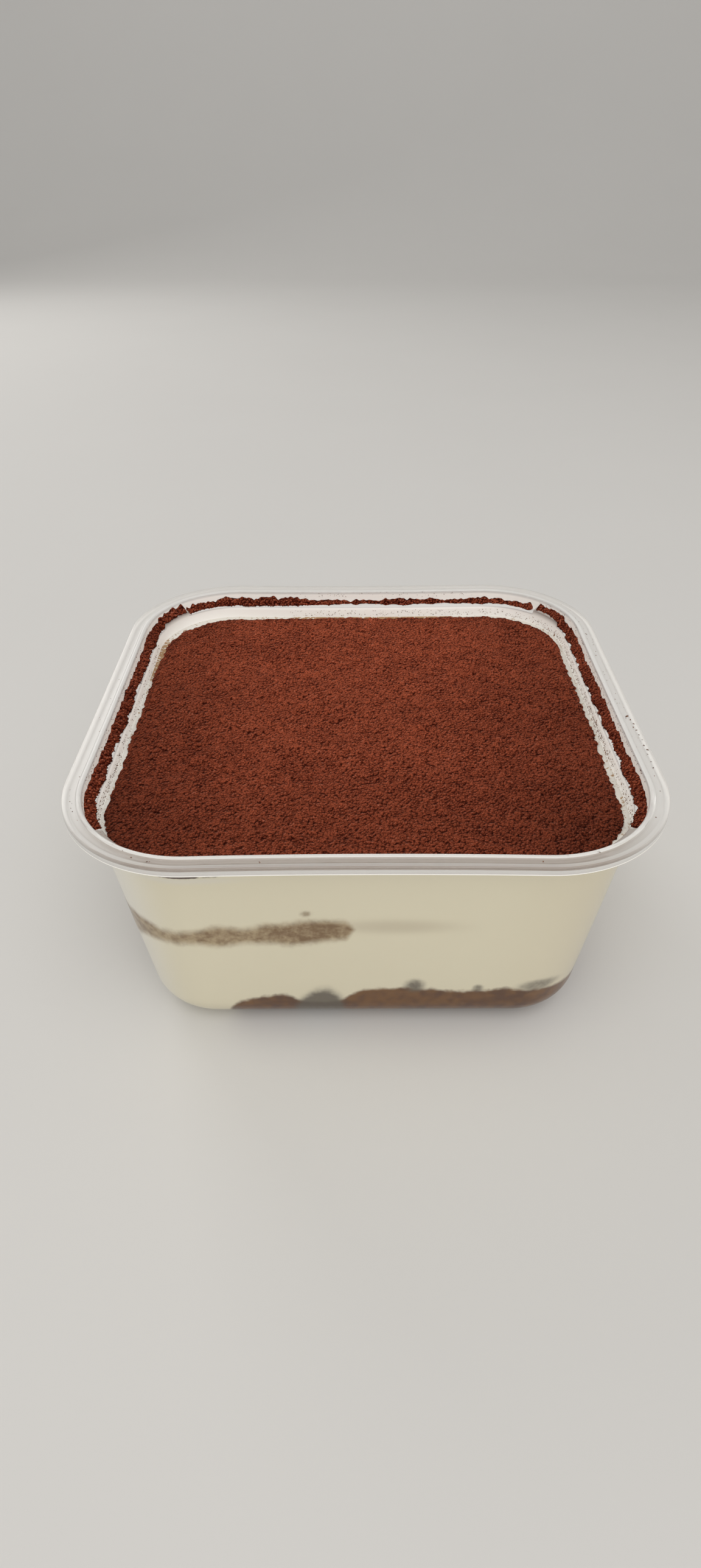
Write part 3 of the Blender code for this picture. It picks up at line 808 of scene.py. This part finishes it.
def make_cocoa_bed():
    """The bed as a closed slab: the bent grid, a wall round its border, and a flat underside. The wall
    leans in a little on its way down, so that it stays inside the tub."""
    x, y = cocoa_xy[..., 0], cocoa_xy[..., 1]
    z, relief = cocoa_height(x, y, cocoa_ring, cocoa_off)
    top = np.stack((x, y, z), -1).reshape(-1, 3)
    number = np.arange(GRID * GRID).reshape(GRID, GRID)
    border = np.concatenate((number[:-1, 0], number[-1, :-1], number[:0:-1, -1], number[0, :0:-1]))
    count = len(border)
    low = top[border] * (0.985, 0.985, 1.0)
    low[:, 2] = COCOA_LOW
    low_number = len(top) + np.arange(count)
    skirt = np.stack((np.roll(border, -1), np.roll(low_number, -1), low_number, border), -1)
    under = fan(low_number, len(top) + count)[:, ::-1]
    points = np.concatenate((top, low, [(0, 0, COCOA_LOW)]))
    marks = {"relief": np.concatenate((relief.ravel() / relief.std(), np.zeros(count + 1)))}
    # The painted light and shade are stored on the points; the slab's side gets a fixed painted shade.
    marks["shade"] = np.concatenate((cocoa_shade(x, y, cocoa_ring).ravel(), np.full(count + 1, 0.7)))
    faces = [grid_faces(number.T), skirt, under]
    return add_piece("cocoa_bed", points, faces, ["cocoa_top"], marks)


cocoa_bed = make_cocoa_bed()

# %% [markdown]
# ## Cocoa on the step
# Some cocoa has missed the middle and lies on the step below the rim, in strips that stop at the corner
# lugs. A strip is a low heap: its section climbs from a ragged inner edge to the short wall behind. The
# width and the height waver along the way, and fine noise breaks up the surface.

# %% Strips on the step
ACROSS = np.array((0.0, 0.0, 0.1, 0.25, 0.42, 0.6, 0.77, 0.9, 1.0, 0.6, 0.2))
RISE = np.array((0.0, 1.0, 0.96, 0.86, 0.72, 0.54, 0.34, 0.14, 0.0, 0.0, 0.0))
STRIP_STEP = 0.16


def rim_grid(place, half, z):
    """The rim formula for a grid: one row per place, one column per point of the section."""
    return np.stack([rim(place, half[:, i], z[:, i]) for i in range(half.shape[1])], 1)


def make_strip(name, start, end, width, height, seed, nodes, share_of=None):
    """A heap along the step between two (corner, angle) places. Each ring is a section: up the wall, down
    over the top to the ragged foot, and back below. Where a lug stands in the way, the heap lies on it.
    share_of thins the heap along its way."""
    first, last = (corner * LAP + QUARTER * angle / 90 for corner, angle in (start, end))
    last += 4 * LAP if last < first else 0
    length = last - first
    count = int(length / STRIP_STEP)
    place = places_at(np.linspace(first, last, count))
    share = np.linspace(0, 1, count)
    full = smooth(np.minimum(share, 1 - share) * length, 0.0, 0.5)
    full = full * (1 if share_of is None else share_of(share, length, count))
    teeth = np.abs(waver(count, length, 0.16, seed + 1))
    edge = 0.94 + 0.07 * waver(count, length, 1.3, seed) + 0.05 * waver(count, length, 0.5, seed + 5)
    edge = edge + 0.07 * teeth
    brow = 1 + 0.14 * waver(count, length, 0.9, seed + 2) + 0.12 * waver(count, length, 0.35, seed + 4)
    reach = np.maximum(full * width * edge, 0.06)
    top = np.maximum(full * height * brow, 0.05)
    grain = 0.09 * np.abs(hills((count, len(ACROSS)), STRIP_STEP, 0.32, seed + 3)) * (RISE > 0)
    inset = 0.16 + reach[:, None] * ACROSS
    floor = STEP_Z - 0.05 + LUG_LIFT * lug_rise(place)[:, None]
    z = floor + np.maximum(top[:, None] * RISE + grain * np.minimum(full, 1)[:, None], 0.0)
    rings = rim_grid(place, MOUTH_HALF - inset, z)
    points, faces = closed_body(rings, rings[0].mean(0), rings[-1].mean(0))
    return add_piece(name, points, faces, nodes)


# %% Four strips
def back_share(share, length, count):
    """The back strip is thin and becomes a full heap towards the left corner."""
    full = smooth(share, 0.55, 0.66)
    thin = 0.66 + 0.09 * waver(count, length, 1.0, 60) + 0.05 * waver(count, length, 0.4, 61)
    return np.maximum(thin, 0.56) * (1 - full) + full


strips = [
    make_strip("step_cocoa_back", (0, 48.6), (1, 43.5), 2.0, 1.75, 51, ["ledge_cocoa_back"], back_share),
    make_strip("step_cocoa_left", (1, 45.2), (2, 32.0), 2.3, 1.45, 52, ["ledge_cocoa_left"]),
    make_strip("step_cocoa_front", (2, 60.5), (3, 29.5), 1.3, 0.8, 53, ["ledge_cocoa_front"]),
    make_strip("step_cocoa_right", (3, 57.5), (0, 45.0), 2.2, 1.3, 54, ["ledge_cocoa_right"]),
]

# %% [markdown]
# ## Specks
# Stray cocoa lies on the flange, clings to the lip, and dots the wall above the bed. Single grains could be
# instances of one shape, but instances are not part of a mesh. Here every speck is the same small grid of
# points, squashed, turned and sized by a seeded draw, and all of them go into one mesh.

# %% Specks
def speck_shape(rows=3, count=6):
    """A ball from rings of points between two poles, with its outward faces."""
    rise = np.radians(np.linspace(-90, 90, rows + 2))[1:-1, None]
    turn = np.radians(np.arange(count) * 360 / count)[None, :]
    flat = np.cos(rise)
    rings = np.stack((flat * np.cos(turn), flat * np.sin(turn), np.sin(rise) + 0 * turn), -1)
    return closed_body(rings, (0, 0, -1), (0, 0, 1))


def on_lip(place, z):
    """Points on the short upright wall, which flares at its top."""
    return rim(place, MOUTH_HALF - np.interp(z, (60.2, 61.4, 61.75), (0.16, 0.03, -0.12)), z)


def on_flange(place, across):
    """Points on the flange, so far outside the mouth."""
    return rim(place, MOUTH_HALF + across, RIM_HEIGHT - FLANGE_DIP + 0.02)


# Specks on the flange, each with its place across and along and its size, in mm.
FLANGE_SPECKS = np.array((
    (61.9, -10.6, 0.5), (62.3, -12.1, 0.35), (62.6, -13.9, 0.4), (62.2, -15.2, 0.25), (62.6, -16.5, 0.45),
    (62.6, -18.4, 0.35), (62.8, -20.4, 0.3), (62.6, -22.6, 0.4), (62.9, -24.4, 0.5), (62.5, -26.0, 0.25),
    (62.5, -28.8, 0.25), (62.3, -31.0, 0.3), (61.5, -39.1, 0.2), (44.4, -57.9, 0.5), (33.3, -60.5, 0.3),
    (38.3, -58.9, 0.2), (57.0, -47.6, 0.22), (58.2, -47.6, 0.2), (-20.2, -60.4, 0.22), (-41.6, -60.1, 0.24),
    (-41.1, -60.1, 0.2), (-57.6, -46.7, 0.35), (-55.9, -48.4, 0.25), (-59.6, -45.1, 0.2),
    (-49.2, -55.2, 0.3), (-46.8, -57.0, 0.3), (-44.8, -58.9, 0.2),
))


# Each row: a surface, the stretches of the way round with a count each, how the specks spread between two
# heights (or distances across), those two, and the smallest and largest size.
SPECK_CLUSTERS = (
    (on_lip, ((-70, 20, 190), (40, 95, 90), (150, 232, 130), (232, 345, 24)), 0.6,
     (60.2, 61.75), (0.05, 0.14)),
    (lambda place, z: wall(place, z, WALL), ((-100, 95, 760), (150, 232, 230), (200, 232, 110)), 1.5,
     (55.4, 57.2), (0.05, 0.15)),
    (on_flange, ((-70, 20, 60), (150, 232, 26)), 1.0, (0.9, 3.4), (0.05, 0.12)),
)


def make_specks():
    """All specks as one mesh. Each is placed on the flange, the lip or the wall, and sinks in a little. A
    spread over one crowds them near the lower end."""
    draw = np.random.default_rng(71)
    x, y, size = FLANGE_SPECKS.T
    spots, sizes = [np.stack((x, y, np.full(len(x), RIM_HEIGHT - FLANGE_DIP + 0.05)), -1)], [size * 0.62]
    for surface, stretches, spread, (near, far), size_range in SPECK_CLUSTERS:
        for low, high, count in stretches:
            place = places_at(draw.uniform(low, high, count))
            spots.append(surface(place, draw.uniform(0, 1, count) ** spread * (far - near) + near))
            sizes.append(draw.uniform(*size_range, count))
    spots, sizes = np.concatenate(spots), np.concatenate(sizes)
    shape, blocks = speck_shape()
    turn = draw.uniform(0, 2 * math.pi, len(spots))
    stretch = draw.uniform((0.8, 0.5, 0.4), (1.7, 1.1, 0.9), (len(spots), 3)) * sizes[:, None]
    local = shape[None] * stretch[:, None] * draw.uniform(0.8, 1.2, (len(spots), len(shape), 1))
    x = local[..., 0] * np.cos(turn)[:, None] - local[..., 1] * np.sin(turn)[:, None]
    y = local[..., 0] * np.sin(turn)[:, None] + local[..., 1] * np.cos(turn)[:, None]
    points = (np.stack((x, y, local[..., 2]), -1) + spots[:, None]).reshape(-1, 3)
    points[:, 2] = np.minimum(points[:, 2], RIM_HEIGHT)
    shift = (np.arange(len(spots)) * len(shape))[:, None, None]
    faces = [(block[None] + shift).reshape(-1, block.shape[1]) for block in blocks]
    return add_piece("cocoa_specks", points, faces)


specks = make_specks()

# %% [markdown]
# ## Finish: clear plastic
# The tub is clear but thick and slightly milky. A glass-like Principled shader bends what lies behind it,
# and a little roughness softens it. Light that reaches the food would have to find its way through by luck,
# which gives a noisy picture, so for shadow rays and diffuse rays the plastic is simply see-through. The
# rim and the short upright walls catch light inside the plastic and look white. A milky shader stands in for
# that where the mesh says so, and a faint glow of painted light keeps the walls' white warm. Where the mesh
# says grey, the milky colour is painted shade for the dark food and shadow seen through the flange. Cocoa
# dust clings to the inside above the bed, and a mask of noise shows it there.

# %% Plastic
def plastic_finish():
    """Clear plastic, milky where it is thick or catches the light, with painted shade where it is grey, a
    glow of painted light on the walls, and cocoa dust where it was stored.
    """
    f = Finish("clear_plastic_dusted")
    cloud = f.noise(30.0)
    clear = f.body({
        "Base Color": (0.96, 0.955, 0.95, 1.0),
        "Roughness": f.ramp(cloud, 0.3, 0.7, 0.16, 0.22),
        "Transmission Weight": 1.0,
        "IOR": 1.42,
        "Specular IOR Level": 0.25,
    })
    white = f.blend(cloud, (0.82, 0.81, 0.785), (0.87, 0.86, 0.835))
    milk = f.body({
        # Painted shade: the grey stands in for the dark food and shadow seen through the flange.
        "Base Color": f.blend(f.mark("grey"), white, (0.31, 0.25, 0.205)),
        "Roughness": 0.3,
        # Painted light: the glow stands in for light that reaches the thin walls from behind.
        "Emission Color": f.blend(f.mark("glow"), (0, 0, 0), (1.0, 0.94, 0.82)),
        "Emission Strength": 0.27,
    })
    fine = f.noise(0.22, 1.0, 0.5)
    dust = f.body({"Base Color": f.blend(fine, (0.16, 0.05, 0.02), (0.42, 0.22, 0.11)), "Roughness": 0.9})
    share = f.mark("milk") * (cloud * 0.2 + 0.9)
    body = f.node("ShaderNodeMixShader", None, {0: share, 1: clear, 2: milk})[0]
    open_way = f.node("ShaderNodeBsdfTransparent", None, {"Color": (0.95, 0.95, 0.945, 1.0)})[0]
    path = f.node("ShaderNodeLightPath")
    passing = path["Is Shadow Ray"].high(path["Is Diffuse Ray"])
    plastic = f.node("ShaderNodeMixShader", None, {0: passing, 1: body, 2: open_way})[0]
    grains = fine * 0.6 + f.noise(0.5, 2.0, 0.6) * 0.4 + (f.noise(5.0) - 0.5) * 0.2
    dusty = f.ramp(grains + f.mark("dust") * 0.25, 0.76, 0.81) * f.ramp(f.mark("dust"), 0.02, 0.2)
    return f.done(f.node("ShaderNodeMixShader", None, {0: dusty, 1: plastic, 2: dust})[0])


clear_tub.data.materials.append(plastic_finish())

# %% [markdown]
# ## Finish: cream and sponge
# The cream is pale and smooth, the lower sponge is dark with coffee, and the upper one is a mottled brown
# crumb that shows through a film of cream. Separate colours for each layer would meet in a hard line, so all
# four share one picture. It reads how far a point lies from either sponge, which was stored on the mesh, and
# shifts that distance with noise, so every edge is soft and ragged. Each layer adds a grain of its own.

# %% Cream and sponge
CREAM = (0.90, 0.835, 0.635)
CREAM_SHADE = (0.85, 0.785, 0.59)
FILM = (0.86, 0.83, 0.77)
SOAK = ((0.105, 0.031, 0.0005), (0.185, 0.070, 0.004))
CRUMB = ((0.22, 0.122, 0.045), (0.50, 0.38, 0.22))
POCKET = (0.115, 0.092, 0.066)


def cream_colour(f):
    """Cream with faint clouds, with painted light at the left end of the front and painted shade at the
    right end.
    """
    base = f.blend(f.noise(26.0, 2.0), CREAM_SHADE, CREAM)
    across = f.node("ShaderNodeSeparateXYZ", None, {0: f.place})["X"] * 1000.0
    # Painted light along the left end, where the plastic's edge catches the light.
    base = f.blend(f.ramp(across, -40.0, -53.0) * 0.9, base, (0.99, 0.96, 0.86))
    # Painted shade along the right end.
    return f.blend(f.ramp(across, 25.0, 56.0) * 0.5, base, (0.74, 0.65, 0.48))


def food_colour(f):
    """Cream, the upper sponge's speckled crumb and the lower one's dark soak in one picture. Each sponge
    fades in across its own line, so pieces that touch have the same colour there."""
    base = cream_colour(f)
    wander = f.noise(0.9, 3.0, 0.65) - 0.5
    flecks = f.noise(1.1, 3.0, 0.65) * 0.75 + f.noise(7.0, 2.0, 0.6) * 0.5
    crumb = f.blend(f.ramp(flecks, 0.44, 0.80), *CRUMB)
    veil = f.ramp(f.mark("off_streak") + wander * 1.5, 1.9, -1.2)
    base = f.blend(veil, base, crumb)
    soak = f.blend(f.ramp(f.noise(1.6, 2.0, 0.6) * 0.7 + f.noise(7.0) * 0.4, 0.42, 0.68), *SOAK)
    base = f.blend(f.ramp(f.mark("above_bottom") + wander * 1.8, 1.0, -0.8), base, soak)
    base = f.blend(f.mark("ghost") * 0.4, base, CRUMB[0])
    base = f.blend(f.mark("pale") * 0.8, base, FILM)
    thread = f.ramp(f.mark("thread") * f.noise(1.6, 3.0, 0.6) * 2.2, 0.55, 0.9)
    base = f.blend(thread, base, (0.12, 0.08, 0.06))
    fuzz = f.noise(0.35, 2.0, 0.6) * 0.7 + f.noise(1.2) * 0.3 + f.mark("loose") * 0.3
    base = f.blend(f.ramp(fuzz, 0.66, 0.76) * f.ramp(f.mark("loose"), 0.0, 0.3), base, (0.42, 0.25, 0.12))
    pocket = f.ramp(f.mark("grey") + wander * f.mark("grey") * 0.8, 0.1, 0.9) * 0.93
    return f.blend(pocket, base, POCKET)


def food_finish(name, roughness, grain_mm, depth_mm):
    """Moist food: the shared picture with a grain of its own."""
    f = Finish(name)
    normal = f.bump(f.noise(grain_mm, 3.0), depth_mm, 0.5)
    return f.done(f.body({"Base Color": food_colour(f), "Roughness": roughness, "Normal": normal}))


cream = food_finish("pale_cream", 0.5, 4.0, 0.25)
cream_lower.data.materials.append(cream)
cream_upper.data.materials.append(cream)
sponge_bottom.data.materials.append(food_finish("dark_sponge", 0.6, 1.6, 0.15))
sponge_middle.data.materials.append(food_finish("pale_sponge", 0.6, 0.9, 0.1))

# %% [markdown]
# ## Finish: cocoa
# Cocoa powder has no gloss at all. The mesh holds its swells, puffs and larger clumps. Grains that are finer
# than the mesh come from a Bump node and from colour: cells of two sizes are rounded into grains, and noise
# heaps them up. The colour holds painted light and shade. To tell which side of a grain faces the window,
# the height is read a second time a short step towards it. Where the powder drops on that step, it is
# painted paler, with a painted highlight, and where it rises, it is painted dark. Low places get painted
# shade as well.

# %% Cocoa
# A short step towards the window, in mm, for the painted light on the grains.
POWDER_STEP = (-0.09, 0.2, 0.0)


def powder_height(f, step_mm=None):
    """Height of the powder: soft clumps, and round grains of two sizes. A grain's height is one minus the
    square of the distance to its middle. The smaller grains come back as well, for their own tones."""
    coarse, small = f.cells(0.66, step_mm), f.cells(0.36, step_mm)
    mound = 1 - coarse["Distance"] * coarse["Distance"] * 1.4
    bead = 1 - small["Distance"] * small["Distance"] * 1.4
    return f.noise(1.5, 3.0, 0.6, step_mm) * 1.05 + mound * 0.5 + bead * 0.24, small


def cocoa_finish(name, on_bed):
    """Dry powder: its height as bump, painted shade where it is low, painted light on the side of each grain
    that faces the window, and a painted highlight where a grain faces the window most. The strips on the
    step are a little darker than the bed."""
    f = Finish(name)
    height, small = powder_height(f)
    # Painted light: the height minus the height a short step towards the window, so a grain's window side
    # comes out paler and its far side darker.
    painted_window_light = height - powder_height(f, POWDER_STEP)[0]
    own = f.node("ShaderNodeSeparateColor", None, {0: small["Color"]})
    # The tone mixes painted shade in the low places, the painted light above, and real tone: each grain's
    # own colour and slow noise.
    tone = height * 0.5 + painted_window_light * 0.95 + own[0] * 0.12 + (f.noise(8.0, 2.0) - 0.5) * 0.25
    # On the bed the stored relief adds a little more painted shade in the low places; the strips are darker
    # overall.
    tone = tone + f.mark("relief") * 0.05 if on_bed else tone - 0.17
    colour = f.blend(f.ramp(tone, 0.05, 0.98), (0.06, 0.005, 0.001), (0.50, 0.110, 0.050))
    # Painted highlight: a pale peach where the grains face the window most.
    painted_highlight = f.ramp(painted_window_light + own[1] * 0.15, 0.2, 0.5) * 0.55
    colour = f.blend(painted_highlight, colour, (0.72, 0.27, 0.18))
    if on_bed:
        # The bed's colour is multiplied by its stored painted light and shade.
        shade = f.mark("shade")
        grey = f.node("ShaderNodeCombineColor", None, {0: shade, 1: shade, 2: shade})[0]
        product = {"data_type": "RGBA", "blend_type": "MULTIPLY"}
        colour = f.node("ShaderNodeMix", product, {0: 1.0, 6: colour, 7: grey})[2]
    normal = f.bump(height, 1.4)
    look = {"Base Color": colour, "Roughness": 0.95, "Specular IOR Level": 0.08, "Normal": normal}
    return f.done(f.body(look))


cocoa_bed.data.materials.append(cocoa_finish("cocoa_powder", True))
step_look = cocoa_finish("cocoa_powder_step", False)
for strip in strips:
    strip.data.materials.append(step_look)


def speck_finish():
    """Single grains look darker than a heap of them, because nothing beside them reflects red light."""
    f = Finish("cocoa_grain")
    colour = f.blend(f.ramp(f.noise(0.3), 0.35, 0.65), (0.07, 0.026, 0.011), (0.22, 0.10, 0.05))
    return f.done(f.body({"Base Color": colour, "Roughness": 0.95, "Specular IOR Level": 0.08}))


specks.data.materials.append(speck_finish())

# %% [markdown]
# ## Floor and light
# A pale, plain floor curves up behind the tub, so no horizon line shows. The light is soft, as in a bright
# room: a very large lamp high in front lights the tub's front evenly, a smaller one behind on the left acts
# as a window and gives the rim its bright edge, and an even surrounding glow keeps the shadows open.

# %% Floor
# In metres: half the floor's width, where it starts to bend, how wide the bend is, and how high it goes.
FLOOR_HALF, BEND_START, BEND, TOP = 3.0, 1.2, 0.8, 4.0


def make_floor():
    """A sheet carried along a line that runs over the floor and turns up through a wide quarter circle."""
    turn = np.linspace(0, math.pi / 2, 90)[1:]
    reach = np.linspace(-FLOOR_HALF, BEND_START, 40)
    reach = np.concatenate((reach, BEND_START + BEND * np.sin(turn), [BEND_START + BEND]))
    height = np.concatenate((np.zeros(40), BEND - BEND * np.cos(turn), [TOP]))
    x = np.linspace(-FLOOR_HALF, FLOOR_HALF, 30)
    points = np.stack((np.tile(x, len(reach)), np.repeat(reach, len(x)), np.repeat(height, len(x))), -1)
    number = np.arange(len(points)).reshape(len(reach), len(x))
    mesh = bpy.data.meshes.new("floor")
    mesh.from_pydata(points.tolist(), [], grid_faces(number).tolist())
    mesh.shade_smooth()
    item = add_object("floor", mesh)
    f = Finish("pale_floor")
    height = f.node("ShaderNodeSeparateXYZ", None, {0: f.place})["Z"]
    level = f.blend(f.noise(60.0, 2.0), (0.68, 0.67, 0.65), (0.70, 0.69, 0.67))
    colour = f.blend(f.ramp(height, 0.02, 0.8), level, (0.78, 0.77, 0.75))
    item.data.materials.append(f.done(f.body({"Base Color": colour, "Roughness": 0.75})))
    print("floor", len(points), "points")


make_floor()


# %% Light
def add_lamp(name, place, aim, size, power, colour):
    """A square lamp that looks from its place at a point. Its third axis points away from that point."""
    light = bpy.data.lights.new(name, "AREA")
    light.shape, light.size, light.energy, light.color = "SQUARE", size, power, colour
    back = np.array(place, float) - np.array(aim, float)
    back /= np.linalg.norm(back)
    across = np.cross((0, 0, 1), back)
    across /= np.linalg.norm(across)
    set_pose(add_object(name, light), across, np.cross(back, across), back, place)
    print(name, "lamp:", size, "m,", power, "W")


add_lamp("window", (-0.60, 0.95, 0.60), (0, 0, 0.03), 0.5, 2.3, (1.0, 0.985, 0.96))
add_lamp("room", (0.15, -0.70, 1.30), (0, 0, 0.03), 1.6, 13.8, (1.0, 0.985, 0.965))
world = bpy.data.worlds.new("soft_room")
bpy.context.scene.world = world
world.use_nodes = True
glow = world.node_tree.nodes["Background"]
glow.inputs["Color"].default_value = (1.0, 0.985, 0.965, 1.0)
glow.inputs["Strength"].default_value = 0.44
bpy.context.scene.view_settings.view_transform = "Standard"
